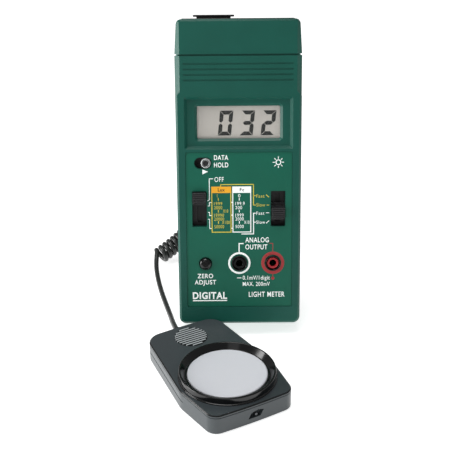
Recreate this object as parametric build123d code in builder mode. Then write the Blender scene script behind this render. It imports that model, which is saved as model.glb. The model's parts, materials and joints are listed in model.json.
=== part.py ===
from build123d import *
from math import cos, pi, radians, sin, tan
import os

# Hand-held light meter that leans back on its tilt stand, with its sensor head lying in front.
# Millimetres, +Z up. The origin is on the bench, under the middle of the meter and the head.
# The meter is drawn lying on its back: X across, Y up the case, Z out of its face.
# The sensor head is drawn flat: X across, Y towards its cord, Z up, with its dome over the origin.

# Where the two halves of the instrument stand
lean = 73.8  # the meter's face, from the bench
meter_x, meter_y = 7.85, 35.85  # foot of the case's back
head_x, head_y = 0.43, -49.55  # centre of the dome
head_turn = 28.7

# Case
case_length = 173.4
case_depth = 31.0
foot_half = 34.8
waist_half = 35.5
top_half = 34.3
waist_y = 153.9  # groove round the case
waist_width = 1.0
waist_depth = 1.0
foot_radius = 4.0
top_radius = 3.0
split_z = 14.0  # joint between the two shells
side_wall = 2.4
front_wall = 3.8
back_wall = 2.6
back_edge = 0.8
front_edge = 1.2
shoulder_edge = 2.8  # wide bevel along the upper sides
shoulder_y = 131.0
boss_radius = 3.6
case_screw_spots = [(-28.5, 9.0), (28.5, 9.0), (-29.0, 164.3), (29.0, 164.3)]

# Face of the case
rib_rows = [140.1, 143.1, 146.1, 149.1]
rib_width, rib_depth = 0.9, 0.35
display_half, display_low, display_high = 30.5, 101.6, 130.8  # sloping recess round the display
display_depth = 2.2
display_slope = 36
window_half, window_low, window_high = 23.4, 107.4, 125.6
window_z = 27.6
window_back = 26.6
glass_top, glass_step, glass_base = 26.4, 25.4, 24.4  # the lower pane is set back for its contacts
panel_half, panel_low, panel_high = 30.2, 10.0, 100.0  # sunken printed panel
panel_depth = 0.8
label_thickness = 0.35
label_z = case_depth - panel_depth + label_thickness

# Controls, as (x, y) on the face
slide_slot_width, slide_slot_length = 8.1, 20.2
slide_slot_y = 67.45
slide_pitch = 4.4  # four positions
range_x = -22.5
response_x = 22.2
range_rest = 1.5 * slide_pitch  # OFF, at the top
response_rest = -0.5 * slide_pitch  # the third position down
hold_x, hold_y = -20.3, 93.75
hold_slot_length, hold_slot_width = 9.6, 6.2
hold_travel = 3.2
zero_x, zero_y = -19.4, 35.6
zero_radius = 3.5
zero_top = 32.8
switch_top = 25.6  # of the switch bodies on the board
channel_z = 24.0  # floor of the channels that their fingers run in
finger_z = 24.3
flange_low, flange_high = 26.0, 26.9  # keeps each knob and the button behind the face
black_x, red_x, jack_y = 0.0, 19.2, 35.85
jack_bore = 2.0
sleeve_radius = 2.6
sleeve_low, sleeve_high = 15.0, 29.5
mouth_radius, collar_radius = 3.9, 4.5  # dished mouth of a jack and its rim
barrel_radius, barrel_top = 3.2, 31.0
thread_radius = 3.6
hole_radius = 4.2  # for a jack, in the shell and label

# Inside
board_z = 21.3
board_thickness = 1.6
board_top = board_z + board_thickness
board_half, board_low, board_high = 30.5, 14.5, 157.5
board_screw_spots = [(-27.0, 19.5), (27.0, 19.5), (-27.0, 151.6), (27.0, 151.6)]
battery_y = 120.0
door_thickness = 2.0
door_half = 15.0
door_left = -30.0
door_right = 35.2

# Tilt stand
stand_half = 20.0
stand_thickness = 3.0
hinge_y, hinge_z = 92.0, 2.0
stand_open = 22.0
stand_pin_radius = 1.0
stand_recess_depth = 4.4

# Sensor plug in the top end
plug_x = -13.65
plug_z = 10.0
plug_half_width, plug_half_height = 9.7, 4.25
plug_gap = 0.15
panel_seat_y = case_length - 1.7
plug_top = case_length + 2.5
relief_y = case_length - 0.5

# Sensor head
head_rear, head_front = 55.2, -28.7
head_rear_half, head_half, head_front_half = 22.4, 28.1, 24.25
head_bow = 0.8
head_rear_radius, head_side_radius, head_front_radius = 9.2, 14.0, 6.5  # of its corners
head_height = 11.6
lid_z = 9.9
lid_gap = 0.35
head_wall = 2.0
dome_radius = 21.4
ring_radius = 25.9
ring_rise = 4.5
flange_radius = 26.4
grip_y, grip_radius, grip_pitch = 42.3, 9.3, 1.85
grip_rows = 10
ridge_width = 0.9
catch_x, catch_z = 0.9, 5.6
head_cord_z = 6.0
head_relief_length = 6.0

# Cord
cord_radius = 1.55
coil_radius = 6.0
lead_route = [
    (-5.8, 95.6, 162.5),
    (-5.8, 106.8, 159.2),
    (-5.3, 118.6, 151.4),
    (-4.3, 127.6, 139.3),
    (-2.9, 133.2, 124.5),
    (-1.5, 135.7, 108.6),
    (-0.4, 136.2, 92.0),
    (0.2, 135.4, 76.0),
]
coil_route = [
    (0.2, 135.4, 76.0),
    (-0.1, 134.6, 61.5),
    (-2.4, 131.2, 47.5),
    (-7.2, 124.8, 35.2),
    (-14.2, 116.2, 25.2),
    (-23.4, 106.4, 17.6),
    (-33.4, 98.0, 11.2),
    (-43.4, 92.3, 6.2),
]
tail_route = [
    (-44.4, 91.8, 9.8),
    (-45.3, 80.6, 5.0),
    (-43.0, 66.4, 2.0),
    (-39.5, 49.8, 1.6),
    (-35.3, 33.2, 1.6),
    (-32.9, 22.6, 2.5),
    (-31.2, 12.6, 4.6),
    (-28.9, 4.1, 6.0),
]

meter_pieces = []
head_pieces = []
cord_pieces = []


def block(low, high, mode=Mode.ADD):
    """A box between two opposite corners."""
    size = Vector(*high) - Vector(*low)
    with Locations(low):
        Box(size.X, size.Y, size.Z, align=(Align.MIN, Align.MIN, Align.MIN), mode=mode)


def peg(at, low, high, radius, mode=Mode.ADD):
    """An upright cylinder between two heights."""
    with Locations((at[0], at[1], low)):
        Cylinder(radius, high - low, align=(Align.CENTER, Align.CENTER, Align.MIN), mode=mode)


def turned(at, half_section, mode=Mode.ADD):
    """A round body about an upright line, from its half section as (radius, height) points."""
    with BuildSketch(Plane(origin=(at[0], at[1], 0), x_dir=(1, 0, 0), z_dir=(0, -1, 0))) as section:
        with BuildLine():
            Polyline(*half_section, close=True)
        make_face()
    revolve(section.sketch, axis=Axis((at[0], at[1], 0), (0, 0, 1)), mode=mode)


def plate(half_width, low, high, base, thickness, corner, mode=Mode.ADD):
    """A flat plate, centred across the case and rounded at its corners."""
    with BuildSketch(Plane.XY.offset(base)) as face:
        with Locations((0, (low + high) / 2)):
            RectangleRounded(2 * half_width, high - low, corner)
    extrude(face.sketch, amount=thickness, mode=mode)


def case_outline(inset=0.0):
    """The case seen from the front: it widens a little up to the waist, then narrows."""
    with BuildSketch() as outline:
        with BuildLine():
            Polyline(
                (-foot_half, 0),
                (foot_half, 0),
                (waist_half, waist_y),
                (top_half, case_length),
                (-top_half, case_length),
                (-waist_half, waist_y),
                close=True,
            )
        make_face()
        fillet(outline.vertices().group_by(Axis.Y)[0], foot_radius)
        fillet(outline.vertices().group_by(Axis.Y)[-1], top_radius)
        if inset:
            offset(amount=-inset, mode=Mode.REPLACE)
    return outline.sketch


def cut_waist():
    """The groove that runs round all four sides of the case."""
    with BuildSketch(Plane.XZ.offset(-waist_y - waist_width / 2)) as ring:
        with Locations((0, case_depth / 2)):
            Rectangle(2 * waist_half + 4, case_depth + 4)
            Rectangle(2 * (waist_half - waist_depth), case_depth - 2 * waist_depth, mode=Mode.SUBTRACT)
    extrude(ring.sketch, amount=waist_width, mode=Mode.SUBTRACT)


def cut_top_end():
    """The seat and the opening for the end panel, shared by both shells."""
    block((-31.7, panel_seat_y, 2.8), (31.7, case_length + 1, 27.2), Mode.SUBTRACT)
    block((-29.0, panel_seat_y - 1.3, 4.0), (29.0, panel_seat_y + 0.1, 26.0), Mode.SUBTRACT)


def cut_controls(base, height, gap=0.0):
    """Openings for the switches, jacks and zero button, through whatever lies at this height."""
    with BuildSketch(Plane.XY.offset(base)) as openings:
        with Locations((range_x, slide_slot_y), (response_x, slide_slot_y)):
            RectangleRounded(slide_slot_width + 2 * gap, slide_slot_length + 2 * gap, 0.6)
        with Locations((hold_x, hold_y)):
            SlotOverall(hold_slot_length + 2 * gap, hold_slot_width + 2 * gap)
        with Locations((zero_x, zero_y)):
            Circle(zero_radius + 0.15 + gap)
        with Locations((black_x, jack_y), (red_x, jack_y)):
            Circle(hole_radius + gap)
    extrude(openings.sketch, amount=height, mode=Mode.SUBTRACT)


# --- Front shell: the face of the case, hollow behind ---
with BuildPart() as shoulder_cut:
    with BuildSketch(Plane.XZ.offset(-case_length - 2)):
        with BuildLine():
            Polyline(
                (waist_half + 2, case_depth - shoulder_edge - 2),
                (waist_half + 2, case_depth + 2),
                (waist_half - shoulder_edge - 2, case_depth + 2),
                close=True,
            )
        make_face()
    extrude(amount=case_length + 2 - shoulder_y)
    split(bisect_by=Plane((waist_half, shoulder_y, case_depth), z_dir=(1, 1, 0)))

with BuildPart() as front_shell:
    with BuildSketch(Plane.XY.offset(split_z)):
        add(case_outline())
    extrude(amount=case_depth - split_z)
    chamfer(front_shell.faces().sort_by(Axis.Z)[-1].edges(), front_edge)
    add(shoulder_cut.part, mode=Mode.SUBTRACT)
    add(shoulder_cut.part.mirror(Plane.YZ), mode=Mode.SUBTRACT)
    with BuildSketch(Plane.XY.offset(split_z)):
        add(case_outline(side_wall))
    extrude(amount=case_depth - front_wall - split_z, mode=Mode.SUBTRACT)
    for x, y in case_screw_spots:
        peg((x, y), split_z, case_depth - front_wall, boss_radius)
        peg((x, y), split_z, case_depth - front_wall + 1, 1.4, Mode.SUBTRACT)
    for x, y in board_screw_spots:
        peg((x, y), board_top, case_depth - front_wall, 2.6)
        peg((x, y), board_top, case_depth - front_wall + 1, 0.85, Mode.SUBTRACT)
    cut_waist()
    cut_top_end()
    with BuildSketch(Plane.XY.offset(case_depth)):
        for row in rib_rows:
            with Locations((0, row)):
                SlotOverall(61.2, rib_width)
    extrude(amount=-rib_depth, mode=Mode.SUBTRACT)
    with BuildSketch(Plane.XY.offset(case_depth)):
        with Locations((0, (display_low + display_high) / 2)):
            RectangleRounded(2 * display_half, display_high - display_low, 0.8)
    extrude(amount=-display_depth, taper=display_slope, mode=Mode.SUBTRACT)
    with BuildSketch(Plane.XY.offset(window_z)):
        with Locations((0, (window_low + window_high) / 2)):
            RectangleRounded(2 * window_half, window_high - window_low, 0.8)
    extrude(amount=case_depth - display_depth - window_z, taper=-50, mode=Mode.SUBTRACT)
    plate(window_half, window_low, window_high, 27.0, 1.0, 0.8, Mode.SUBTRACT)
    plate(25.9, window_low - 2.4, window_high + 2.4, 27.0, window_z - 27.0, 0.5, Mode.SUBTRACT)
    plate(panel_half, panel_low, panel_high, case_depth - panel_depth, 1.0, 1.2, Mode.SUBTRACT)
    cut_controls(case_depth - front_wall - 0.5, 5.0)
front_shell.part.label = "front_shell"
meter_pieces.append(front_shell.part)

# --- Rear shell: back of the case with the stand's recess and the battery bay ---
battery_low, battery_high = battery_y - 13.6, battery_y + 13.6
with BuildPart() as rear_shell:
    with BuildSketch():
        add(case_outline())
    extrude(amount=split_z)
    chamfer(rear_shell.faces().sort_by(Axis.Z)[0].edges(), back_edge)
    with BuildSketch(Plane.XY.offset(back_wall)):
        add(case_outline(side_wall))
    extrude(amount=split_z - back_wall, mode=Mode.SUBTRACT)
    # floor over the stand's recess, thicker wall under the door, and the battery bay
    block((-24.5, 1.5, back_wall - 0.2), (24.5, 98.5, stand_recess_depth + 2.0))
    block((-33.0, battery_low - 3.6, back_wall - 0.2), (33.0, battery_high + 3.6, 4.0))
    block((-29.7, battery_low - 1.2, back_wall - 0.2), (27.7, battery_high + 1.2, 21.0))
    block((-28.5, battery_low, -1.0), (26.5, battery_high, 19.8), Mode.SUBTRACT)
    block((-28.4, battery_y - 6.0, 19.0), (-25.6, battery_y + 6.0, 22.0), Mode.SUBTRACT)
    for x, y in case_screw_spots:
        peg((x, y), back_wall - 0.2, split_z, boss_radius)
        peg((x, y), -1.0, split_z + 1, 1.7, Mode.SUBTRACT)
        peg((x, y), -1.0, 3.0, 3.0, Mode.SUBTRACT)
    cut_waist()
    cut_top_end()
    # the door's seat with a groove each side that holds the door's tongues
    for margin, floor in ((0.2, -1.0), (1.0, 1.0)):
        seat_low = battery_y - door_half - margin
        seat_high = battery_y + door_half + margin
        block((door_left - 0.3, seat_low, floor), (40.0, seat_high, 2.2), Mode.SUBTRACT)
    # the stand's recess, wider where a thumb and a finger take hold of the stand
    recess_half, recess_top = stand_half + 0.6, hinge_y + 3.4
    block((-recess_half, 2.2, -1.0), (recess_half, recess_top, stand_recess_depth), Mode.SUBTRACT)
    with Locations((-stand_half, 14.0, 0), (stand_half, 14.0, 0)):
        Cylinder(6.5, 2 * 2.0, mode=Mode.SUBTRACT)
    with Locations((0, hinge_y, hinge_z)):
        Cylinder(stand_pin_radius, 2 * stand_half + 6.0, rotation=(0, 90, 0), mode=Mode.SUBTRACT)
    # notch that lets the sensor's lead out at the back of the top end
    peg((plug_x, relief_y), -1.0, 6.0, 2.3, Mode.SUBTRACT)
rear_shell.part.label = "rear_shell"
meter_pieces.append(rear_shell.part)

# --- Top end: the panel, the sensor's socket behind it and the plug that sits in it ---
with BuildPart() as top_end_panel:
    with BuildSketch(Plane.XZ.offset(-panel_seat_y - 0.1)):
        with Locations((0, 15.0)):
            RectangleRounded(63.0, 24.0, 1.0)
        with Locations((plug_x, 10.0)):
            RectangleRounded(20.2, 9.2, 0.6, mode=Mode.SUBTRACT)
    extrude(amount=-2.0)
    chamfer(top_end_panel.faces().sort_by(Axis.Y)[-1].outer_wire().edges(), 0.3)
    peg((plug_x, relief_y), 0.0, 8.0, 2.3, Mode.SUBTRACT)
top_end_panel.part.label = "top_end_panel"
meter_pieces.append(top_end_panel.part)

with BuildPart() as sensor_socket:
    block((plug_x - 11.2, case_length - 13.4, 4.4), (plug_x + 11.2, panel_seat_y - 0.1, 15.6))
    half_width, half_height = plug_half_width + plug_gap, plug_half_height + plug_gap
    bay_low = (plug_x - half_width, case_length - 11.4, plug_z - half_height)
    bay_high = (plug_x + half_width, case_length, plug_z + half_height)
    block(bay_low, bay_high, Mode.SUBTRACT)
    peg((plug_x, relief_y), 4.0, 6.0, 2.3, Mode.SUBTRACT)
sensor_socket.part.label = "sensor_socket"
meter_pieces.append(sensor_socket.part)

with BuildPart() as sensor_plug:
    block(
        (plug_x - plug_half_width, case_length - 10.4, plug_z - plug_half_height),
        (plug_x + plug_half_width, plug_top - 0.5, plug_z + plug_half_height),
    )
    peg((plug_x, relief_y), 3.0, 6.0, 1.95)
    with BuildSketch(Plane.XZ.offset(-plug_top)):
        with Locations((plug_x, 10.1)):
            RectangleRounded(23.4, 14.2, 1.2)
    extrude(amount=0.95)
    chamfer(sensor_plug.faces().sort_by(Axis.Y)[-1].edges(), 0.25)
sensor_plug.part.label = "sensor_plug"
meter_pieces.append(sensor_plug.part)

with BuildPart() as plug_relief:
    with BuildSketch(Plane.XY.offset(3.0)):
        with Locations((plug_x, relief_y)):
            Circle(1.95)
    with BuildSketch(Plane.XY.offset(-12.0)):
        with Locations((plug_x, relief_y)):
            Circle(1.7)
    loft()
plug_relief.part.label = "plug_relief"
cord_pieces.append(plug_relief.part)

# --- Display: window, glass, holder and its rubber contact strips ---
with BuildPart() as lcd_window:
    plate(25.6, window_low - 2.1, window_high + 2.1, window_back, window_z - window_back, 0.4)
lcd_window.part.label = "lcd_window"
meter_pieces.append(lcd_window.part)

with BuildPart() as lcd_glass:
    plate(25.2, window_low - 2.7, window_high + 2.7, glass_step, glass_top - glass_step, 0.2)
    plate(25.2, window_low - 0.5, window_high + 2.7, glass_base, glass_step - glass_base, 0.2)
lcd_glass.part.label = "lcd_glass"
meter_pieces.append(lcd_glass.part)

with BuildPart() as lcd_holder:
    plate(27.2, window_low - 4.5, window_high + 4.5, board_top, glass_top - board_top, 1.0)
    plate(25.3, window_low - 2.8, window_high + 2.8, board_top - 1, 6.0, 0.2, Mode.SUBTRACT)
lcd_holder.part.label = "lcd_holder"
meter_pieces.append(lcd_holder.part)

with BuildPart() as lcd_contact_strips:
    with Locations((0, window_low + 1.1, board_top), (0, window_high + 1.0, board_top)):
        Box(48.0, 2.4, glass_base - board_top, align=(Align.CENTER, Align.CENTER, Align.MIN))
lcd_contact_strips.part.label = "lcd_contact_strips"
meter_pieces.append(lcd_contact_strips.part)

# --- Printed label in the sunken panel ---
with BuildPart() as front_label:
    label_low, label_high = panel_low + 0.15, panel_high - 0.15
    plate(panel_half - 0.15, label_low, label_high, label_z - label_thickness, label_thickness, 1.0)
    cut_controls(label_z - 1, 2.0, gap=0.2)
front_label.part.label = "front_label"
meter_pieces.append(front_label.part)

# --- Circuit board and what stands on it ---
with BuildPart() as circuit_board:
    plate(board_half, board_low, board_high, board_z, board_thickness, 2.0)
    for x in (black_x, red_x):
        peg((x, jack_y), board_z - 1, board_top + 1, 4.4, Mode.SUBTRACT)
    for x, y in board_screw_spots:
        peg((x, y), board_z - 1, board_top + 1, 1.0, Mode.SUBTRACT)
circuit_board.part.label = "circuit_board"
meter_pieces.append(circuit_board.part)

with BuildPart() as main_chip:
    block((-7.0, 46.5, board_z - 4.2), (7.0, 98.5, board_z))
    with Locations((0, 98.5, board_z - 4.2)):
        Cylinder(1.5, 2.0, mode=Mode.SUBTRACT)
main_chip.part.label = "main_chip"
meter_pieces.append(main_chip.part)

with BuildPart() as amplifier_chips:
    for y in (62.0, 78.0):
        block((12.0, y, board_z - 3.4), (18.4, y + 9.8, board_z))
amplifier_chips.part.label = "amplifier_chips"
meter_pieces.append(amplifier_chips.part)

with BuildPart() as trimmers:
    for y in (56.0, 68.0, 80.0):
        block((-24.0, y, board_z - 4.8), (-17.0, y + 7.0, board_z))
        peg((-20.5, y + 3.5), board_z - 5.6, board_z - 4.8, 2.0)
        block((-22.5, y + 3.2, board_z - 6.0), (-18.5, y + 3.8, board_z - 5.3), Mode.SUBTRACT)
trimmers.part.label = "trimmers"
meter_pieces.append(trimmers.part)

with BuildPart() as capacitors:
    for x, y in ((-20.0, 46.0), (-12.5, 22.0), (12.5, 22.0)):
        peg((x, y), board_z - 8.5, board_z, 3.1)
    fillet(capacitors.faces().group_by(Axis.Z)[0].edges(), 0.5)
capacitors.part.label = "capacitors"
meter_pieces.append(capacitors.part)

# --- Slide switches with their knobs ---
slide_reach = 1.5 * slide_pitch
knob_width, knob_height = 7.5, 6.3
knob_top = case_depth + 3.2
knob_groove_pitch = 1.25


def slide_switch_body(x):
    """Switch body on the board, with a channel that the knob's finger runs in."""
    half = slide_reach + 4.0
    run = slide_reach + 1.7
    block((x - 5.6, slide_slot_y - half, board_top), (x + 5.6, slide_slot_y + half, switch_top))
    block((x - 1.4, slide_slot_y - run, channel_z), (x + 1.4, slide_slot_y + run, 26.0), Mode.SUBTRACT)


def slide_knob(x, offset_y):
    """Ribbed knob in its slot, on a tongue that keeps it behind the face."""
    y = slide_slot_y + offset_y
    block((x - 1.1, y - 1.4, finger_z), (x + 1.1, y + 1.4, flange_low + 0.2))
    block((x - 5.0, y - 5.2, flange_low), (x + 5.0, y + 5.2, flange_high))
    half, reach = knob_width / 2, knob_height / 2
    block((x - half, y - reach, flange_high - 0.4), (x + half, y + reach, knob_top))
    for row in range(-2, 3):
        groove_y = y + row * knob_groove_pitch
        low, high = (x - 4.0, groove_y - 0.3, knob_top - 0.7), (x + 4.0, groove_y + 0.3, knob_top + 1)
        block(low, high, Mode.SUBTRACT)


with BuildPart() as range_switch:
    slide_switch_body(range_x)
range_switch.part.label = "range_switch"
meter_pieces.append(range_switch.part)

with BuildPart() as range_knob:
    slide_knob(range_x, range_rest)
range_knob.part.label = "range_knob"
meter_pieces.append(range_knob.part)

with BuildPart() as response_switch:
    slide_switch_body(response_x)
response_switch.part.label = "response_switch"
meter_pieces.append(response_switch.part)

with BuildPart() as response_knob:
    slide_knob(response_x, response_rest)
response_knob.part.label = "response_knob"
meter_pieces.append(response_knob.part)

hold_rest_x = hold_x + hold_travel / 2
with BuildPart() as hold_switch:
    block((hold_x - 7.0, hold_y - 3.6, board_top), (hold_x + 7.0, hold_y + 3.6, switch_top))
    block((hold_x - 3.6, hold_y - 1.2, channel_z), (hold_x + 3.6, hold_y + 1.2, 26.0), Mode.SUBTRACT)
hold_switch.part.label = "hold_switch"
meter_pieces.append(hold_switch.part)

with BuildPart() as hold_knob:
    block((hold_rest_x - 1.2, hold_y - 0.9, finger_z), (hold_rest_x + 1.2, hold_y + 0.9, flange_low + 0.2))
    block((hold_rest_x - 3.6, hold_y - 3.9, flange_low), (hold_rest_x + 3.6, hold_y + 3.9, flange_high))
    turned(
        (hold_rest_x, hold_y),
        [(0, 26.5), (2.8, 26.5), (2.8, 31.0), (2.3, 31.4), (1.9, 31.4), (1.5, 30.7), (0, 30.7)],
    )
hold_knob.part.label = "hold_knob"
meter_pieces.append(hold_knob.part)

# --- Zero button over its switch ---
with BuildPart() as zero_switch:
    block((zero_x - 3.1, zero_y - 3.1, board_top), (zero_x + 3.1, zero_y + 3.1, 24.4))
zero_switch.part.label = "zero_switch"
meter_pieces.append(zero_switch.part)

with BuildPart() as zero_button:
    peg((zero_x, zero_y), flange_low, flange_high, zero_radius + 0.9)
    peg((zero_x, zero_y), flange_high, zero_top, zero_radius)
    fillet(zero_button.edges().filter_by(GeomType.CIRCLE).sort_by(Axis.Z)[-1], 1.9)
zero_button.part.label = "zero_button"
meter_pieces.append(zero_button.part)


# --- Output jacks for 4 mm plugs ---
def jack_body(x):
    """Collar, dished mouth and barrel of one jack."""
    turned(
        (x, jack_y),
        [
            (sleeve_radius, sleeve_low - 1),
            (thread_radius, sleeve_low - 1),
            (thread_radius, 27.2),
            (hole_radius - 0.1, 27.2),
            (hole_radius - 0.1, label_z),
            (collar_radius, label_z),
            (collar_radius, barrel_top + 0.6),
            (mouth_radius, barrel_top + 0.6),
            (mouth_radius - 0.2, barrel_top - 1.8),
            (barrel_radius, barrel_top - 1.8),
            (barrel_radius, barrel_top),
            (jack_bore, barrel_top),
            (jack_bore, sleeve_high + 0.1),
            (sleeve_radius, sleeve_high + 0.1),
        ],
    )


with BuildPart() as black_jack:
    jack_body(black_x)
black_jack.part.label = "black_jack"
meter_pieces.append(black_jack.part)

with BuildPart() as red_jack:
    jack_body(red_x)
red_jack.part.label = "red_jack"
meter_pieces.append(red_jack.part)

with BuildPart() as jack_sleeves:
    for x in (black_x, red_x):
        peg((x, jack_y), sleeve_low, sleeve_high, sleeve_radius)
        peg((x, jack_y), sleeve_low - 1, sleeve_high + 1, jack_bore, Mode.SUBTRACT)
jack_sleeves.part.label = "jack_sleeves"
meter_pieces.append(jack_sleeves.part)

with BuildPart() as jack_nuts:
    with BuildSketch(Plane.XY.offset(25.0)):
        with Locations((black_x, jack_y), (red_x, jack_y)):
            RegularPolygon(6.0, 6)
            Circle(thread_radius + 0.05, mode=Mode.SUBTRACT)
    extrude(amount=2.1)
jack_nuts.part.label = "jack_nuts"
meter_pieces.append(jack_nuts.part)

# --- Battery, its snap and leads, and the door ---
battery_left = -24.0
with BuildPart() as battery:
    block((battery_left, battery_y - 13.0, 2.5), (battery_left + 46.4, battery_y + 13.0, 19.5))
    fillet(battery.edges().filter_by(Axis.X), 2.0)
    with Locations(*[(battery_left - 1.0, battery_y + side * 6.35, 11.0) for side in (-1, 1)]):
        Cylinder(3.0, 2.0, rotation=(0, 90, 0))
battery.part.label = "battery"
meter_pieces.append(battery.part)

with BuildPart() as battery_snap:
    block((battery_left - 4.2, battery_y - 12.5, 3.5), (battery_left - 2.1, battery_y + 12.5, 18.5))
    fillet(battery_snap.edges().filter_by(Axis.X), 3.0)
battery_snap.part.label = "battery_snap"
meter_pieces.append(battery_snap.part)

with BuildPart() as battery_leads:
    for y in (battery_y - 2.0, battery_y + 2.0):
        peg((battery_left - 3.1, y), 18.5, board_z, 0.6)
battery_leads.part.label = "battery_leads"
meter_pieces.append(battery_leads.part)

with BuildPart() as battery_door:
    block((door_left, battery_y - door_half, 0), (door_right, battery_y + door_half, door_thickness))
    chamfer(battery_door.faces().sort_by(Axis.X)[-1].edges().sort_by(Axis.Z)[0], back_edge)
    tongue = door_half + 0.7
    block((door_left, battery_y - tongue, 1.15), (door_right - 4, battery_y + tongue, door_thickness))
    with BuildSketch():
        for x in (18.0, 20.5, 23.0, 25.5, 28.0):
            with Locations((x, battery_y)):
                SlotOverall(18.0, 1.2, rotation=90)
    extrude(amount=0.6, mode=Mode.SUBTRACT)
battery_door.part.label = "battery_door"
meter_pieces.append(battery_door.part)

# --- Tilt stand, open, and its pin ---
tilt = radians(lean)
meter_z = -back_edge * cos(tilt)
tip_radius = stand_thickness / 2
hinge_height = meter_z + hinge_y * sin(tilt) + hinge_z * cos(tilt)
stand_reach = (hinge_height - tip_radius) / sin(tilt + radians(stand_open)) + tip_radius
with BuildPart() as tilt_stand:
    with BuildSketch():
        with Locations((0, -stand_reach / 2)):
            Rectangle(2 * stand_half, stand_reach)
    extrude(amount=stand_thickness / 2, both=True)
    fillet(tilt_stand.edges().filter_by(Axis.Z).group_by(Axis.Y)[0], 3.0)
    fillet(tilt_stand.faces().sort_by(Axis.Y)[0].edges().filter_by(Axis.X), tip_radius - 0.05)
    Cylinder(2.0, 2 * stand_half, rotation=(0, 90, 0))
    with BuildSketch(Plane.XY.offset(-stand_thickness / 2)):
        with Locations(*[(0, -stand_reach + 8.0 + 2.5 * row) for row in range(4)]):
            SlotOverall(22.0, 1.2)
    extrude(amount=0.6, mode=Mode.SUBTRACT)
    Cylinder(stand_pin_radius + 0.06, 2 * stand_half + 2, rotation=(0, 90, 0), mode=Mode.SUBTRACT)
tilt_stand.part = Location((0, hinge_y, hinge_z), (stand_open, 0, 0)) * tilt_stand.part
tilt_stand.part.label = "tilt_stand"
meter_pieces.append(tilt_stand.part)

with BuildPart() as stand_pin:
    with Locations((0, hinge_y, hinge_z)):
        Cylinder(stand_pin_radius, 2 * stand_half + 5.6, rotation=(0, 90, 0))
stand_pin.part.label = "stand_pin"
meter_pieces.append(stand_pin.part)

# --- Screws ---
with BuildPart() as case_screws:
    for x, y in case_screw_spots:
        peg((x, y), 1.2, 3.0, 2.7)
        peg((x, y), 3.0, 22.0, 1.35)
        block((x - 2.0, y - 0.35, 0.9), (x + 2.0, y + 0.35, 2.1), Mode.SUBTRACT)
        block((x - 0.35, y - 2.0, 0.9), (x + 0.35, y + 2.0, 2.1), Mode.SUBTRACT)
case_screws.part.label = "case_screws"
meter_pieces.append(case_screws.part)

with BuildPart() as board_screws:
    for x, y in board_screw_spots:
        peg((x, y), board_z - 1.4, board_z, 2.0)
        peg((x, y), board_z, board_z + 5.0, 0.8)
        block((x - 1.5, y - 0.25, board_z - 2), (x + 1.5, y + 0.25, board_z - 0.8), Mode.SUBTRACT)
board_screws.part.label = "board_screws"
meter_pieces.append(board_screws.part)


# --- Sensor head ---
def head_outline(inset=0.0):
    """Six-sided outline, widest at the dome, with softly bowed ends."""
    rear, front = head_rear - head_bow, head_front + head_bow
    with BuildSketch() as outline:
        with BuildLine():
            ThreePointArc((-head_rear_half, rear), (0, head_rear), (head_rear_half, rear))
            Polyline((head_rear_half, rear), (head_half, 0), (head_front_half, front))
            ThreePointArc((head_front_half, front), (0, head_front), (-head_front_half, front))
            Polyline((-head_front_half, front), (-head_half, 0), (-head_rear_half, rear))
        make_face()
        fillet(outline.vertices().group_by(Axis.Y)[-1], head_rear_radius)
        fillet(outline.vertices().filter_by_position(Axis.Y, -1, 1), head_side_radius)
        fillet(outline.vertices().filter_by_position(Axis.Y, head_front, head_front + 2), head_front_radius)
        if inset:
            offset(amount=-inset, mode=Mode.REPLACE)
    return outline.sketch


head_screw_spots = [(-15.5, 46.5), (15.5, 46.5), (-18.5, -22.3), (18.5, -22.3)]
with BuildPart() as sensor_lower_shell:
    with BuildSketch():
        add(head_outline())
    extrude(amount=lid_z)
    chamfer(sensor_lower_shell.faces().sort_by(Axis.Z)[0].edges(), 0.6)
    with BuildSketch(Plane.XY.offset(1.8)):
        add(head_outline(head_wall))
    extrude(amount=lid_z, mode=Mode.SUBTRACT)
    # a shadow line along the sides, halfway up
    with BuildSketch(Plane.XY.offset(5.6)):
        add(head_outline())
        add(head_outline(0.35), mode=Mode.SUBTRACT)
        with Locations((0, -18.0)):
            Rectangle(80, 32, mode=Mode.SUBTRACT)
        with Locations((0, 60.0)):
            Rectangle(34, 20, mode=Mode.SUBTRACT)
    extrude(amount=0.5, mode=Mode.SUBTRACT)
    for x, y in head_screw_spots:
        peg((x, y), 1.6, lid_z, 2.6)
        peg((x, y), -1, lid_z + 1, 1.1, Mode.SUBTRACT)
        peg((x, y), -1, 1.4, 2.1, Mode.SUBTRACT)
    # recess in the front wall with its backing
    block((catch_x - 5.6, head_front + 1.4, 1.6), (catch_x + 5.6, head_front + 4.0, 9.2))
    with BuildSketch(Plane.XZ.offset(-head_front + 1)):
        with BuildLine():
            Polyline(
                (catch_x - 4.5, catch_z - 2.0),
                (catch_x + 2.6, catch_z - 2.0),
                (catch_x + 4.5, catch_z + 1.3),
                (catch_x + 1.2, catch_z + 2.2),
                (catch_x - 2.8, catch_z + 1.2),
                close=True,
            )
        make_face()
    extrude(amount=-3.4, mode=Mode.SUBTRACT)
    with Locations((0, head_rear, head_cord_z)):
        Cylinder(2.5, 12.0, rotation=(90, 0, 0), mode=Mode.SUBTRACT)
sensor_lower_shell.part.label = "sensor_lower_shell"
head_pieces.append(sensor_lower_shell.part)

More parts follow.
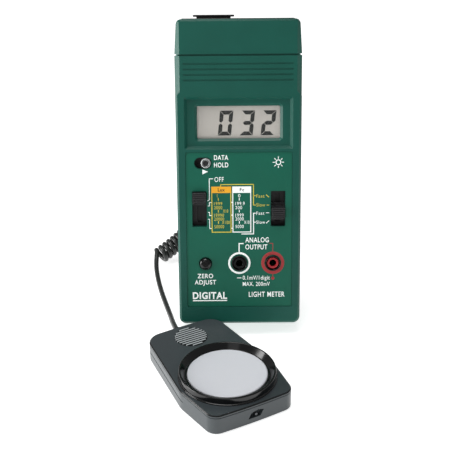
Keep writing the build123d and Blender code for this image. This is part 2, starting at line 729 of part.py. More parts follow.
with BuildPart() as sensor_upper_shell:
    with BuildSketch(Plane.XY.offset(lid_z + lid_gap)):
        add(head_outline())
    extrude(amount=head_height - lid_z - lid_gap)
    chamfer(sensor_upper_shell.faces().sort_by(Axis.Z)[-1].edges(), 0.6)
    with BuildSketch(Plane.XY.offset(lid_z)):
        add(head_outline(0.5))
    extrude(amount=0.4)
    for x, y in head_screw_spots:
        peg((x, y), lid_z - 1, lid_z + 1.1, 0.75, Mode.SUBTRACT)
    peg((0, 0), lid_z - 1, head_height + 1, 20.4, Mode.SUBTRACT)
    # ridged thumb rest: ridges laid across a round patch
    with BuildSketch(Plane.XY.offset(head_height - 0.3)):
        with Locations((0, grip_y)):
            Circle(grip_radius)
    extrude(amount=0.3, mode=Mode.SUBTRACT)
    with BuildSketch(Plane.XY.offset(head_height - 0.3)):
        for row in range(grip_rows):
            ridge_y = (row - (grip_rows - 1) / 2) * grip_pitch
            half_chord = (grip_radius**2 - (abs(ridge_y) + ridge_width / 2) ** 2) ** 0.5 - 0.2
            with Locations((0, grip_y + ridge_y)):
                Rectangle(2 * half_chord, ridge_width)
    extrude(amount=0.75)
sensor_upper_shell.part.label = "sensor_upper_shell"
head_pieces.append(sensor_upper_shell.part)

with BuildPart() as sensor_ring:
    turned(
        (0, 0),
        [
            (21.6, head_height),
            (flange_radius, head_height),
            (flange_radius, head_height + 0.5),
            (ring_radius, head_height + 0.8),
            (ring_radius, head_height + ring_rise - 0.4),
            (ring_radius - 0.4, head_height + ring_rise),
            (ring_radius - 1.0, head_height + ring_rise),
            (22.3, head_height + 1.3),
            (21.6, head_height + 1.3),
        ],
    )
sensor_ring.part.label = "sensor_ring"
head_pieces.append(sensor_ring.part)

with BuildPart() as diffuser:
    turned(
        (0, 0),
        [
            (0, 10.6),
            (20.2, 10.6),
            (20.2, head_height),
            (dome_radius, head_height),
            (dome_radius, 13.4),
            (20.9, 13.75),
            (0, 13.9),
        ],
    )
diffuser.part.label = "diffuser"
head_pieces.append(diffuser.part)

with BuildPart() as light_filter:
    peg((0, 0), 9.3, 10.5, 8.0)
light_filter.part.label = "light_filter"
head_pieces.append(light_filter.part)

with BuildPart() as photodiode:
    peg((0, 0), 5.0, 6.0, 5.4)
    peg((0, 0), 6.0, 9.2, 4.6)
photodiode.part.label = "photodiode"
head_pieces.append(photodiode.part)

with BuildPart() as sensor_board:
    block((-15.0, -14.0, 3.4), (15.0, 30.0, 5.0))
sensor_board.part.label = "sensor_board"
head_pieces.append(sensor_board.part)

with BuildPart() as board_pillars:
    for x, y in ((-11.0, -10.0), (11.0, -10.0), (-11.0, 26.0), (11.0, 26.0)):
        peg((x, y), 1.8, 3.4, 2.0)
board_pillars.part.label = "board_pillars"
head_pieces.append(board_pillars.part)

with BuildPart() as sensor_screws:
    for x, y in head_screw_spots:
        peg((x, y), 0.2, 1.4, 1.9)
        peg((x, y), 1.4, lid_z + 1.0, 0.7)
        block((x - 1.4, y - 0.25, 0), (x + 1.4, y + 0.25, 0.8), Mode.SUBTRACT)
sensor_screws.part.label = "sensor_screws"
head_pieces.append(sensor_screws.part)

with BuildPart() as catch_pin:
    with Locations((catch_x + 0.4, head_front + 2.4 - 0.85, catch_z - 0.9)):
        Cylinder(0.75, 1.7, rotation=(90, 0, 0))
catch_pin.part.label = "catch_pin"
head_pieces.append(catch_pin.part)

with BuildPart() as sensor_relief:
    with BuildSketch(Plane.XZ.offset(-head_rear + 4.0)):
        with Locations((0, head_cord_z)):
            Circle(2.45)
    extrude(amount=-4.0)
    with BuildSketch(Plane.XZ.offset(-head_rear)):
        with Locations((0, head_cord_z)):
            Circle(2.9)
    with BuildSketch(Plane.XZ.offset(-head_rear - head_relief_length)):
        with Locations((0, head_cord_z)):
            Circle(1.9)
    loft()
sensor_relief.part.label = "sensor_relief"
head_pieces.append(sensor_relief.part)


# --- Cord: the plug's lead, the curly part as one fat tube, and the tail to the sensor head ---
def largest_radii(route):
    """For each corner, the largest arc that its two runs allow."""
    radii = []
    points = [Vector(*point) for point in route]
    for before, corner, after in zip(points, points[1:], points[2:]):
        shorter = min((corner - before).length, (after - corner).length)
        turn = radians((corner - before).get_angle(after - corner))
        radii.append(0.45 * shorter / tan(turn / 2))
    return radii


def tube_along(route, radius, name):
    """A round tube along straight runs joined by tangent arcs."""
    radii = largest_radii(route)
    with BuildPart() as tube:
        with BuildLine() as path:
            FilletPolyline(*route, radius=radii)
        with BuildSketch(Plane(origin=path.wire() @ 0, z_dir=path.wire() % 0)):
            Circle(radius)
        sweep()
    length = path.wire().length
    print(name, "length", round(length, 1), "least radius", round(min(radii), 1))
    print(name, "volume over section times length", round(tube.part.volume / (pi * radius**2 * length), 4))
    tube.part.label = name
    return tube.part


cord_lead = tube_along(lead_route, cord_radius, "cord_lead")
cord_coil = tube_along(coil_route, coil_radius, "cord_coil")
cord_tail = tube_along(tail_route, cord_radius, "cord_tail")

# --- Everything in its place on the bench ---
meter_place = Location((meter_x, meter_y, meter_z), (lean, 0, 0))
head_place = Location((head_x, head_y, 0), (0, 0, head_turn))
object_pieces = [meter_place * piece for piece in meter_pieces]
object_pieces += [head_place * piece for piece in head_pieces]
lead_pieces = [meter_place * piece for piece in cord_pieces]
lead_pieces += [cord_lead, cord_coil, cord_tail]
os.makedirs("parts", exist_ok=True)
for piece in object_pieces + lead_pieces:
    export_step(piece, f"parts/{piece.label}.step")
box = Compound(children=object_pieces).bounding_box()
print("object without its cord", box.min, box.max)
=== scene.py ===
import json
from math import cos, pi, radians, sin, tan

import bmesh
import bpy
from mathutils import Matrix, Vector


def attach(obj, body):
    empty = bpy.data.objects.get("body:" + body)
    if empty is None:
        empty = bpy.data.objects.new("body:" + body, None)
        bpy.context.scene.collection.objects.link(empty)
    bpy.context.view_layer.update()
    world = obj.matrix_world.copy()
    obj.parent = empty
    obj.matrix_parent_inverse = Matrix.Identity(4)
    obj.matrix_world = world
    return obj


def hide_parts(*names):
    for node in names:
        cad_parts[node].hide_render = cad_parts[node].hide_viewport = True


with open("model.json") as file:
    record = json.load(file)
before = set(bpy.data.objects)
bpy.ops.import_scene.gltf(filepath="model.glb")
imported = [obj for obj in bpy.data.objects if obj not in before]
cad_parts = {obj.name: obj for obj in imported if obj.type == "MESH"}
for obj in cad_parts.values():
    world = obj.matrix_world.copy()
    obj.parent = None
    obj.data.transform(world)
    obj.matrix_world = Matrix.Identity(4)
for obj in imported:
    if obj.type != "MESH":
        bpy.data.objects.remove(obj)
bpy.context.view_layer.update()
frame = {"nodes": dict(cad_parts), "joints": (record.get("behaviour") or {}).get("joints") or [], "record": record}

# A light meter that leans on its stand, and its sensor head on a curly cord.
# Lengths named in millimetres are multiplied by MM where they are used.
MM = 0.001

joints = {joint["name"]: joint for joint in frame["joints"]}
mounts = {mount["name"]: mount for mount in frame["record"]["mounts"]}
bodies = {node: body for body, group in frame["record"]["behaviour"]["bodies"].items() for node in group}

# The case's own axes: across its face, up it and out of it, from the foot of its back
case_up = -Vector(joints["range_slide"]["axis"])
face_out = -Vector(joints["zero_press"]["axis"])
face_across = case_up.cross(face_out)
hinge_on_case = Vector((0, 92.0, 2.0)) * MM
case_turn = Matrix((face_across, case_up, face_out)).transposed()
case_foot = Vector(joints["stand_hinge"]["pos_m"]) - case_turn @ hinge_on_case
case_place = Matrix.Translation(case_foot) @ case_turn.to_4x4()

# The sensor head's own axes, from the point of the bench under its dome
head_turn = radians(28.7)
head_place = Matrix.Translation(mounts["sensor_rest"]["pos_m"]) @ Matrix.Rotation(head_turn, 4, "Z")

# Printed face, in millimetres across the face, up it and out of the case's back
print_z = 30.55  # surface of the label
print_thickness = 0.02
print_sunk = 0.01  # how far each ink starts under the surface below it
jack_y = 35.85
black_jack_x, red_jack_x = 0, 19.2


def srgb(red, green, blue):
    """A colour as a screen shows it, 0 to 255, as linear light."""
    return tuple(((c / 255 + 0.055) / 1.055) ** 2.4 if c > 10 else c / 255 / 12.92 for c in (red, green, blue))


# --- Camera and light ---
def add_camera():
    """The view from in front and above, a little to the left of the meter's middle."""
    distance, drop, roll = 707.6 * MM, radians(27.16), radians(-0.45)
    target = Vector((-0.23, 147.87, 0)) * MM
    forward = Vector((0, cos(drop), -sin(drop)))
    level, upward = Vector((1, 0, 0)), Vector((0, sin(drop), cos(drop)))
    right = level * cos(roll) + upward * sin(roll)
    top = upward * cos(roll) - level * sin(roll)
    data = bpy.data.cameras.new("camera")
    data.sensor_width = 36
    data.lens = 79.5
    data.clip_start = 0.01
    camera = bpy.data.objects.new("camera", data)
    camera.matrix_world = Matrix.Translation(target - forward * distance) @ Matrix(
        (right, top, -forward)
    ).transposed().to_4x4()
    bpy.context.scene.collection.objects.link(camera)
    bpy.context.scene.camera = camera


def add_light(name, place, size, power):
    """A square soft box that faces the middle of the object."""
    data = bpy.data.lights.new(name, "AREA")
    data.size = size
    data.energy = power
    lamp = bpy.data.objects.new(name, data)
    middle = Vector((0, 0.02, 0.07))
    lamp.location = place
    lamp.rotation_euler = (middle - Vector(place)).to_track_quat("-Z", "Y").to_euler()
    bpy.context.scene.collection.objects.link(lamp)


def add_studio():
    """Pale floor that glows a little, dim white surroundings and three soft boxes."""
    world = bpy.data.worlds.new("studio")
    world.use_nodes = True
    background = world.node_tree.nodes["Background"]
    background.inputs["Color"].default_value = (1, 1, 1, 1)
    background.inputs["Strength"].default_value = 0.24
    bpy.context.scene.world = world
    bpy.context.scene.view_settings.view_transform = "Standard"
    add_light("left_box", (-0.95, -0.12, 0.26), 0.5, 7)
    add_light("top_box", (-0.15, -0.05, 1.1), 0.6, 5.5)
    add_light("front_box", (-0.3, -1.0, 0.7), 0.5, 0.5)
    mesh = bpy.data.meshes.new("floor")
    half = 3.0
    corners = [(-half, -half, 0), (half, -half, 0), (half, half, 0), (-half, half, 0)]
    mesh.from_pydata(corners, [], [(0, 1, 2, 3)])
    floor = bpy.data.objects.new("floor", mesh)
    bpy.context.scene.collection.objects.link(floor)
    floor.location.z = -0.0001
    paper = material("floor_paper", (250, 250, 250), 0.8, patch=8, spread=0.01)
    shader = paper.node_tree.nodes["Principled BSDF"]
    shader.inputs["Emission Color"].default_value = (1, 1, 1, 1)
    shader.inputs["Emission Strength"].default_value = 0.7
    floor.data.materials.append(paper)


# --- Materials ---
def material(name, colour, roughness, patch=60, spread=0.08, grain=2500, relief=0.01, uneven=0.06, **settings):
    """A plastic, rubber or metal with cloudy colour, uneven gloss and a fine grain."""
    made = bpy.data.materials.new(name)
    made.use_nodes = True
    nodes, links = made.node_tree.nodes, made.node_tree.links
    shader = nodes["Principled BSDF"]
    where = nodes.new("ShaderNodeTexCoord").outputs["Object"]
    base = srgb(*colour)
    cloud = nodes.new("ShaderNodeTexNoise")
    cloud.inputs["Scale"].default_value = patch
    cloud.inputs["Detail"].default_value = 4
    links.new(where, cloud.inputs["Vector"])
    ramp = nodes.new("ShaderNodeValToRGB")
    for stop, (position, factor) in zip(ramp.color_ramp.elements, ((0.3, 1 - spread), (0.7, 1 + spread))):
        stop.position = position
        stop.color = (*[min(1, channel * factor) for channel in base], 1)
    links.new(cloud.outputs["Fac"], ramp.inputs["Fac"])
    links.new(ramp.outputs["Color"], shader.inputs["Base Color"])
    fine = nodes.new("ShaderNodeTexNoise")
    fine.inputs["Scale"].default_value = grain
    fine.inputs["Detail"].default_value = 2
    links.new(where, fine.inputs["Vector"])
    gloss = nodes.new("ShaderNodeMapRange")
    gloss.inputs["To Min"].default_value = max(0, roughness - uneven)
    gloss.inputs["To Max"].default_value = min(1, roughness + uneven)
    links.new(fine.outputs["Fac"], gloss.inputs["Value"])
    links.new(gloss.outputs["Result"], shader.inputs["Roughness"])
    bump = nodes.new("ShaderNodeBump")
    bump.inputs["Strength"].default_value = 0.5
    bump.inputs["Distance"].default_value = relief * MM
    links.new(fine.outputs["Fac"], bump.inputs["Height"])
    links.new(bump.outputs["Normal"], shader.inputs["Normal"])
    for socket, value in settings.items():
        shader.inputs[socket].default_value = value
    return made


dull = {"Specular IOR Level": 0.35}
green = material("case_green", (18, 84, 72), 0.36, spread=0.05, relief=0.03, grain=3500, **dull)
label_green = material("label_green", (12, 97, 77), 0.38, spread=0.05, relief=0.004, **dull)
black = material("black_plastic", (26, 27, 28), 0.4)
knob_black = material("knob_black", (40, 40, 42), 0.3, relief=0.02)
gloss_black = material("gloss_black", (9, 10, 11), 0.14, relief=0.004, uneven=0.04)
cord_grey = material("cord_rubber", (40, 43, 41), 0.32, patch=200, relief=0.02)
lcd_grey = material("lcd_grey", (200, 195, 188), 0.35, spread=0.03, relief=0.002)
lcd_ink = material("lcd_ink", (6, 6, 7), 0.6, relief=0.002, **dull)
clear = material("clear_window", (200, 205, 200), 0.1, spread=0.02, relief=0.001, uneven=0.03, Alpha=0.03)
rubber = material("zebra_rubber", (140, 140, 142), 0.6)
board_green = material("board_green", (24, 84, 44), 0.3)
blue = material("component_blue", (30, 60, 130), 0.3)
red = material("red_plastic", (176, 36, 44), 0.3)
nickel = material("nickel", (205, 200, 190), 0.22, spread=0.05, relief=0.003, Metallic=1.0)
steel = material("steel", (190, 190, 192), 0.32, spread=0.05, relief=0.01, Metallic=1.0)
battery_skin = material("battery_jacket", (40, 42, 50), 0.3, Metallic=0.4)
head_grey = material("head_grey", (62, 69, 72), 0.3, spread=0.05, relief=0.03, grain=3500)
# painted highlight: pale grey for the thumb ridges' tops, standing in for the light they catch
ridge_painted_highlight = material("ridge_painted_highlight", (178, 184, 186), 0.4, spread=0.06, relief=0.01)
rim_grey = material("rim_grey", (196, 200, 200), 0.35, relief=0.002)
# painted shade: near black for the floor between the thumb ridges
ridge_gap_painted_shade = material("ridge_gap_painted_shade", (22, 26, 27), 0.5, relief=0.01)
# painted dark reflection: near black for the rounded slope of the lid's edge
lid_edge_painted_reflection = material("lid_edge_painted_reflection", (20, 23, 24), 0.25, relief=0.005)
dark_steel = material("dark_steel", (96, 98, 100), 0.4, relief=0.01, Metallic=0.8)
disc_white = material("diffuser_white", (228, 230, 236), 0.3, patch=25, spread=0.02, relief=0.002)
filter_green = material("filter_glass", (120, 170, 130), 0.1, relief=0.001, uneven=0.03, Alpha=0.6)
# painted glow: the white ink gives off a little light of its own
painted_glow = {"Emission Color": (1, 1, 1, 1), "Emission Strength": 0.22}
white_ink_painted_glow = material("white_ink_painted_glow", (246, 250, 248), 0.5, spread=0.02, relief=0.002, **painted_glow)
yellow_ink = material("yellow_ink", (226, 206, 70), 0.5, spread=0.04, relief=0.002)
orange_ink = material("orange_ink", (252, 180, 36), 0.5, spread=0.03, relief=0.002)
red_ink = material("red_ink", (176, 52, 54), 0.5, spread=0.04, relief=0.002)
dark_ink = material("dark_ink", (30, 28, 20), 0.5, spread=0.04, relief=0.002)

finishes = {
    "case_green": green,
    "black_plastic": black,
    "cord_rubber": cord_grey,
    "clear_window": clear,
    "lcd": lcd_grey,
    "soft_rubber": rubber,
    "printed_label": label_green,
    "board": board_green,
    "component_blue": blue,
    "black_knob": knob_black,
    "gloss_black": gloss_black,
    "red_jack": red,
    "nickel": nickel,
    "steel": steel,
    "battery_jacket": battery_skin,
    "head_grey": head_grey,
    "diffuser_white": disc_white,
    "filter_glass": filter_green,
}
slots = {subpart["node"]: subpart["material_slot"] for subpart in frame["record"]["subparts"]}


def finish_with(piece, made):
    """Gives a piece its one material."""
    piece.data.materials.clear()
    piece.data.materials.append(made)


# --- CAD pieces with their hard edges rounded ---
edge_widths = {
    "front_shell": 0.3,
    "rear_shell": 0.3,
    "top_end_panel": 0.2,
    "sensor_plug": 0.2,
    "range_knob": 0.2,
    "response_knob": 0.2,
    "hold_knob": 0.15,
    "black_jack": 0.15,
    "red_jack": 0.15,
    "battery_door": 0.25,
    "tilt_stand": 0.3,
    "sensor_lower_shell": 0.35,
    "sensor_upper_shell": 0.35,
    "sensor_ring": 0.2,
    "diffuser": 0.2,
    "circuit_board": 0.15,
    "battery": 0.3,
    "lcd_holder": 0.2,
}


def rounded_copy(node, width):
    """A copy of a CAD piece with its hard edges rounded, which stands for it."""
    mesh = bmesh.new()
    mesh.from_mesh(frame["nodes"][node].data)
    bmesh.ops.remove_doubles(mesh, verts=mesh.verts, dist=0.002 * MM)
    bmesh.ops.dissolve_limit(mesh, angle_limit=radians(0.5), verts=mesh.verts, edges=mesh.edges)
    data = bpy.data.meshes.new(node + "_rounded")
    mesh.to_mesh(data)
    mesh.free()
    if "custom_normal" in data.attributes:
        data.attributes.remove(data.attributes["custom_normal"])
    piece = bpy.data.objects.new(node + "_rounded", data)
    bpy.context.scene.collection.objects.link(piece)
    data.shade_smooth()
    rounding = piece.modifiers.new("rounding", "BEVEL")
    rounding.width = width * MM
    rounding.segments = 3
    rounding.limit_method = "ANGLE"
    rounding.angle_limit = radians(28)
    rounding.harden_normals = True
    finish_with(piece, finishes[slots[node]])
    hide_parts(node)
    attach(piece, bodies[node])
    return piece


def paint(piece, made, chosen, place):
    """Gives another material to the faces chosen by first corner and direction, in the axes of place."""
    piece.data.materials.append(made)
    back = place.inverted()
    turn = back.to_3x3()
    for face in piece.data.polygons:
        corner = piece.data.vertices[face.vertices[0]].co
        if chosen(back @ corner / MM, turn @ face.normal):
            face.material_index = len(piece.data.materials) - 1


def paint_head(lid):
    """Painted highlight on the thumb ridges' tops, painted shade on the floor between them, and a painted dark
    reflection on the slope of the lid's edge.
    """
    lid_top = 11.6
    ridge_top = lid_top + 0.45
    patch_floor = lid_top - 0.3
    edge_low = lid_top - 0.7
    # painted shade on the patch floor between the ridges
    paint(lid, ridge_gap_painted_shade, lambda at, way: abs(at.z - patch_floor) < 0.05 and way.z > 0.9, head_place)
    # painted highlight on the ridges' tops
    paint(lid, ridge_painted_highlight, lambda at, way: at.z > ridge_top - 0.1, head_place)
    # painted dark reflection on the slope of the lid's edge
    paint(lid, lid_edge_painted_reflection, lambda at, way: 0.3 < way.z < 0.9 and edge_low < at.z < lid_top, head_place)


def paint_hold_knob(knob):
    """The hold knob's rim is picked out in a pale line."""
    rim_low = 30.95
    paint(knob, rim_grey, lambda at, way: at.z > rim_low and 0.2 < way.z < 0.97, case_place)


def paint_jack(jack):
    """The red jack has a black collar round its red barrel."""
    middle = Vector((red_jack_x, jack_y))
    barrel = 3.25
    paint(jack, gloss_black, lambda at, way: (at.xy - middle).length > barrel, case_place)


# --- Cord ---
wire_radius = 1.55 * MM
turn_radius = 4.45 * MM  # of the wire's centreline in the curly part
turn_pitch = 3.4 * MM
points_per_turn = 16
closing_turns = 1.2  # over which the coil's upper end closes onto the lead
lead_route = [
    (-0.0058, 0.0956, 0.1625),
    (-0.0058, 0.1068, 0.1592),
    (-0.0053, 0.1186, 0.1514),
    (-0.0043, 0.1276, 0.1393),
    (-0.0029, 0.1332, 0.1245),
    (-0.0015, 0.1357, 0.1086),
    (-0.0004, 0.1362, 0.0920),
    (0.0002, 0.1354, 0.0760),
]
coil_route = [
    (0.0002, 0.1354, 0.0760),
    (-0.0001, 0.1346, 0.0615),
    (-0.0024, 0.1312, 0.0475),
    (-0.0072, 0.1248, 0.0352),
    (-0.0142, 0.1162, 0.0252),
    (-0.0234, 0.1064, 0.0176),
    (-0.0334, 0.0980, 0.0112),
    (-0.0434, 0.0923, 0.0062),
]
tail_route = [
    (-0.0453, 0.0806, 0.0050),
    (-0.0430, 0.0664, 0.0020),
    (-0.0395, 0.0498, 0.0016),
    (-0.0353, 0.0332, 0.0016),
    (-0.0329, 0.0226, 0.0025),
    (-0.0312, 0.0126, 0.0046),
    (-0.0289, 0.0041, 0.0060),
]


def smooth_curve(name, points, steps):
    """A curve object of one open NURBS spline with these control points."""
    data = bpy.data.curves.new(name, "CURVE")
    data.dimensions = "3D"
    data.resolution_u = steps
    spline = data.splines.new("NURBS")
    spline.points.add(len(points) - 1)
    for control, point in zip(spline.points, points):
        control.co = (*point, 1)
    spline.order_u = 3
    spline.use_endpoint_u = True
    return bpy.data.objects.new(name, data)


def line_of(route):
    """Close points along the smooth curve of a route."""
    curve = smooth_curve("route", route, 24)
    mesh = bpy.data.meshes.new_from_object(curve)
    points = [vertex.co.copy() for vertex in mesh.vertices]
    bpy.data.objects.remove(curve)
    bpy.data.meshes.remove(mesh)
    return points


def helix_points():
    """The curly part's turns, from its foot on the bench up to the lead."""
    line = line_of(coil_route)[::-1]
    lengths = [0.0]
    for before, after in zip(line, line[1:]):
        lengths.append(lengths[-1] + (after - before).length)
    turns = round(lengths[-1] / turn_pitch)
    count = turns * points_per_turn
    normal = Vector((0, 0, 1))
    points, k = [], 0
    for i in range(count + 1):
        along = lengths[-1] * i / count
        while k < len(line) - 2 and lengths[k + 1] < along:
            k += 1
        run = line[k + 1] - line[k]
        centre = line[k] + run * ((along - lengths[k]) / run.length)
        forward = run.normalized()
        normal = (normal - forward * normal.dot(forward)).normalized()
        angle = 2 * pi * i / points_per_turn
        turns_left = (count - i) / points_per_turn
        radius = turn_radius * min(1, turns_left / closing_turns)
        points.append(centre + (normal * cos(angle) + normal.cross(forward) * sin(angle)) * radius)
    return points


def add_cord():
    """The whole cord, from the plug's relief to the sensor head's."""
    turns = helix_points()[::-1]
    cord = smooth_curve("sensor_cord", lead_route[:-1] + [tuple(p) for p in turns] + tail_route, 6)
    bpy.context.scene.collection.objects.link(cord)
    cord.data.bevel_depth = wire_radius
    cord.data.bevel_resolution = 4
    cord.data.use_fill_caps = True
    finish_with(cord, cord_grey)
    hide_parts("cord_lead", "cord_coil", "cord_tail")
    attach(cord, "instrument")


# --- Printing on the face ---
ink_materials = {
    "white": white_ink_painted_glow,
    "yellow": yellow_ink,
    "orange": orange_ink,
    "red": red_ink,
    "dark": dark_ink,
}
inks = {name: bmesh.new() for name in ink_materials}


def add_prism(mesh, outline, low, high):
    """A thin closed prism on the face, from its outline."""
    floor = [mesh.verts.new((u, v, low)) for u, v in outline]
    roof = [mesh.verts.new((u, v, high)) for u, v in outline]
    mesh.faces.new(floor[::-1])
    mesh.faces.new(roof)
    for i in range(len(outline)):
        j = (i + 1) % len(outline)
        mesh.faces.new((floor[i], floor[j], roof[j], roof[i]))


def print_shape(ink, points, layer=0):
    """A flat printed shape from its outline."""
    low = print_z - print_sunk + layer * print_thickness
    add_prism(inks[ink], points, low, low + print_thickness)


def print_bar(ink, left, right, low, high, layer=0):
    """A printed rectangle."""
    print_shape(ink, [(left, low), (right, low), (right, high), (left, high)], layer)


def print_line(ink, points, width):
    """A printed line through some points, with square ends that fill its corners."""
    for start, end in zip(points, points[1:]):
        a, b = Vector(start), Vector(end)
        along = (b - a).normalized() * width / 2
        side = Vector((-along.y, along.x))
        corners = [a - along - side, b + along - side, b + along + side, a - along + side]
        print_shape(ink, [tuple(corner) for corner in corners])


def print_ring(ink, centre, inner, outer, parts=48):
    """A printed ring, as a row of short sectors."""
    for i in range(parts):
        a, b = 2 * pi * i / parts, 2 * pi * (i + 1) / parts
        corners = [(inner, a), (outer, a), (outer, b), (inner, b)]
        print_shape(ink, [(centre[0] + r * cos(t), centre[1] + r * sin(t)) for r, t in corners])


def print_disc(ink, centre, radius, parts=24):
    """A printed dot."""
    turns = [2 * pi * i / parts for i in range(parts)]
    print_shape(ink, [(centre[0] + radius * cos(t), centre[1] + radius * sin(t)) for t in turns])


def text_mesh(text, weight):
    """Letters of the built-in font as a closed mesh one unit high, and their width."""
    data = bpy.data.curves.new("letters", "FONT")
    data.body = text
    data.offset = weight
    data.space_character = 1.12
    data.extrude = 0.5
    holder = bpy.data.objects.new("letters", data)
    mesh = bpy.data.meshes.new_from_object(holder)
    bpy.data.objects.remove(holder)
    return mesh


cap_mesh = text_mesh("H", 0)
cap_height = max(vertex.co.y for vertex in cap_mesh.vertices)


def print_text(ink, text, left, right, base, height, weight=0.0, layer=0):
    """Lettering stretched to fill its width, with its capitals this high."""
    mesh = text_mesh(text, weight)
    xs = [vertex.co.x for vertex in mesh.vertices]
    stretch = (right - left) / (max(xs) - min(xs))
    low = print_z - print_sunk + layer * print_thickness
    scale = Matrix.Diagonal((stretch, height / cap_height, print_thickness, 1))
    shift = Matrix.Translation((left - min(xs) * stretch, base, low + print_thickness / 2))
    mesh.transform(shift @ scale)
    inks[ink].from_mesh(mesh)
    bpy.data.meshes.remove(mesh)


def print_scales():
    """The two range tables and the lines that lead to the switches."""
    line = 0.5
    for ink, left, right, header, word, word_span in (
        ("yellow", -15.7, -4.4, "orange", "Lux", (-12.0, -8.1)),
        ("white", -3.8, 6.9, "white", "Fc", (0.4, 3.1)),
    ):
        low, high, shelf = 53.8, 80.35, 76.7
        print_bar(ink, left, left + line, low, shelf)
        print_bar(ink, right - line, right, low, shelf)
        print_bar(ink, left + line, right - line, low, low + line)
        print_bar(header, left, right, shelf, high)
        print_text("dark", word, *word_span, 77.6, 1.9, 0.02, layer=1)
    row_height = 1.8
    rows = (("0", 74.2), ("1999", 69.7), ("2000", 67.35), ("19990", 62.95), ("20000", 60.75), ("50000", 56.35))
    for text, base in rows:
        left = -14.2 if len(text) > 1 else -12.2
        right = -8.6 - 1.0 * (5 - len(text))
        print_text("yellow", text, left, right, base, row_height)
    for text, left, right, base in (
        ("0", -0.5, 0.8, 74.2),
        ("199.9", -2.1, 3.2, 69.7),
        ("200", -2.1, 1.7, 67.35),
        ("1999", -2.1, 2.6, 62.95),
        ("2000", -2.1, 2.6, 60.75),
        ("5000", -2.1, 2.6, 56.35),
    ):
        print_text("white", text, left, right, base, row_height)
    dash = 0.75
    for centre in (73.05, 66.2, 59.7):
        print_bar("yellow", -12.0, -11.55, centre - dash, centre + dash)
        print_bar("white", -0.1, 0.35, centre - dash, centre + dash)
    print_text("yellow", "X10", -9.2, -6.2, 65.4, row_height)
    print_text("yellow", "X100", -9.8, -5.4, 58.8, row_height)
    print_text("white", "X10", 2.8, 5.9, 58.8, row_height)
    for height in (71.3, 63.9, 56.3):
        print_bar("white", -4.4, -3.8, height - 0.25, height + 0.25)
    for start, end in ((69.3, 71.3), (65.6, 63.7), (61.6, 56.2)):
        print_line("white", [(-17.5, start), (-16.8, start), (-16.8, end), (-15.9, end)], 0.35)
    print_line("white", [(-14.8, 84.9), (-16.8, 84.9), (-16.8, 73.0), (-17.7, 72.2)], 0.4)
    print_text("white", "OFF", -13.8, -8.6, 83.1, 2.7)
    print_line("yellow", [(-10.4, 80.6), (-10.4, 81.5), (8.2, 81.5), (8.2, 69.6), (9.2, 69.6)], 0.45)
    print_line("yellow", [(8.2, 75.0), (9.2, 75.0)], 0.45)
    print_line("white", [(1.5, 52.9), (8.2, 52.9), (8.2, 64.9), (9.2, 64.9)], 0.5)
    print_line("white", [(8.2, 59.7), (9.2, 59.7)], 0.45)
    for ink, word, right, base in (
        ("yellow", "Fast", 14.4, 73.9),
        ("yellow", "Slow", 14.8, 68.8),
        ("white", "Fast", 14.4, 64.0),
        ("white", "Slow", 14.8, 58.8),
    ):
        print_text(ink, word, 9.8, right, base, 1.8)
    for ink, start, end in (
        ("yellow", (15.5, 75.4), (16.9, 74.2)),
        ("yellow", (15.9, 69.6), (16.9, 69.6)),
        ("white", (15.5, 65.1), (16.9, 65.1)),
        ("white", (15.5, 59.2), (16.9, 60.4)),
    ):
        print_line(ink, [start, end], 0.4)


def print_words():
    """The rest of the wording, the rings round the jacks and the hold arrow."""
    bold = 0.012
    print_text("white", "DATA", -14.0, -6.0, 95.6, 2.6, bold)
    print_text("white", "HOLD", -14.0, -6.0, 91.4, 2.6, bold)
    print_shape("white", [(-20.6, 87.5), (-17.5, 88.9), (-20.6, 90.2)])
    print_text("white", "ANALOG", 3.5, 16.9, 48.0, 2.75, bold)
    print_text("white", "OUTPUT", 3.5, 16.1, 43.9, 2.75, bold)
    print_text("white", "ZERO", -24.1, -15.2, 27.1, 2.5, bold)
    print_text("white", "ADJUST", -25.8, -13.5, 23.4, 2.5, bold)
    print_bar("white", -1.4, 1.2, 26.9, 27.3)
    print_text("white", "0.1mV/1digit", 1.9, 17.5, 26.0, 2.3, 0.008)
    print_text("white", "MAX. 200mV", 1.9, 17.5, 22.3, 2.3, 0.008)
    print_text("white", "LIGHT METER", 5.4, 26.0, 15.8, 2.9, bold)
    print_text("white", "DIGITAL", -27.0, -7.2, 14.8, 3.8, 0.03)
    print_bar("white", -27.0, -7.2, 13.4, 14.0)
    print_line("white", [(2.2, 47.3), (-0.1, 47.3), (-0.1, 42.2)], 0.6)
    print_ring("white", (black_jack_x, jack_y), 5.3, 6.4)
    print_ring("red", (red_jack_x, jack_y), 4.8, 6.6)
    print_line("red", [(17.4, 47.3), (red_jack_x, 47.3), (red_jack_x, 42.4)], 0.35)
    print_line("red", [(red_jack_x, 29.4), (red_jack_x, 27.2)], 0.35)
    print_disc("red", (red_jack_x, 26.8), 0.95)


def print_sun():
    """A small sun: a ring with rays."""
    sun_x, sun_y = 22.3, 94.0
    rays = 8
    print_ring("white", (sun_x, sun_y), 1.1, 1.6)
    for i in range(rays):
        angle = 2 * pi * i / rays
        ends = [(sun_x + r * cos(angle), sun_y + r * sin(angle)) for r in (2.2, 3.0)]
        print_line("white", ends, 0.4)


def add_to_face(name, mesh, made):
    """A piece of the instrument from a mesh drawn on its face."""
    data = bpy.data.meshes.new(name)
    mesh.to_mesh(data)
    mesh.free()
    data.transform(case_place @ Matrix.Scale(MM, 4))
    piece = bpy.data.objects.new(name, data)
    bpy.context.scene.collection.objects.link(piece)
    finish_with(piece, made)
    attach(piece, "instrument")


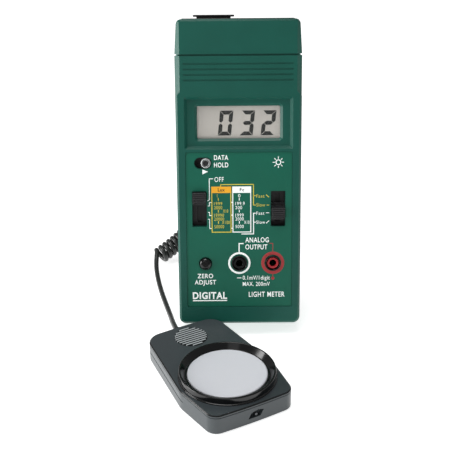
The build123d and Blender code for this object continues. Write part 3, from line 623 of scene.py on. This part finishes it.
def add_printing():
    """Every ink as one piece on the label."""
    print_scales()
    print_words()
    print_sun()
    for ink, mesh in inks.items():
        add_to_face("printing_" + ink, mesh, ink_materials[ink])


# --- Display ---
digit_width, digit_height, stroke = 7.5, 14.0, 2.2
digit_gap = 0.16
digit_slant = tan(radians(6))
digit_base, digit_lefts = 108.9, (-11.8, 0.4, 12.4)
segment_z = 26.42  # just over the display glass
segment_thickness = 0.03


def segment_shapes():
    """The seven strokes of a digit by their usual letters."""
    w, h, t, g = digit_width, digit_height, stroke, digit_gap
    half = h / 2
    top = [(g, h), (w - g, h), (w - t - g, h - t), (t + g, h - t)]
    middle = [
        (t / 2 + g, half),
        (t + g, half + t / 2),
        (w - t - g, half + t / 2),
        (w - t / 2 - g, half),
        (w - t - g, half - t / 2),
        (t + g, half - t / 2),
    ]
    upper = [(0, h - g), (t, h - t - g), (t, half + t / 2 + g), (t / 2, half + g), (0, half + t / 2)]

    def flip(shape):
        return [(u, h - v) for u, v in shape]

    def across(shape):
        return [(w - u, v) for u, v in shape]

    return {
        "a": top,
        "b": across(upper),
        "c": across(flip(upper)),
        "d": flip(top),
        "e": flip(upper),
        "f": upper,
        "g": middle,
    }


def add_digits():
    """The reading on the display."""
    shapes = segment_shapes()
    mesh = bmesh.new()
    for left, strokes in zip(digit_lefts, ("abcdef", "abcdg", "abdeg")):
        for letter in strokes:
            outline = [(left + u + v * digit_slant, digit_base + v) for u, v in shapes[letter]]
            add_prism(mesh, outline, segment_z, segment_z + segment_thickness)
    bmesh.ops.recalc_face_normals(mesh, faces=mesh.faces)
    add_to_face("display_digits", mesh, lcd_ink)


# --- Making it all ---
add_camera()
for node, piece in frame["nodes"].items():
    finish_with(piece, dark_steel if node == "catch_pin" else finishes[slots[node]])
rounded = {node: rounded_copy(node, width) for node, width in edge_widths.items()}
paint_head(rounded["sensor_upper_shell"])
paint_hold_knob(rounded["hold_knob"])
paint_jack(rounded["red_jack"])
add_cord()
add_studio()
add_printing()
add_digits()
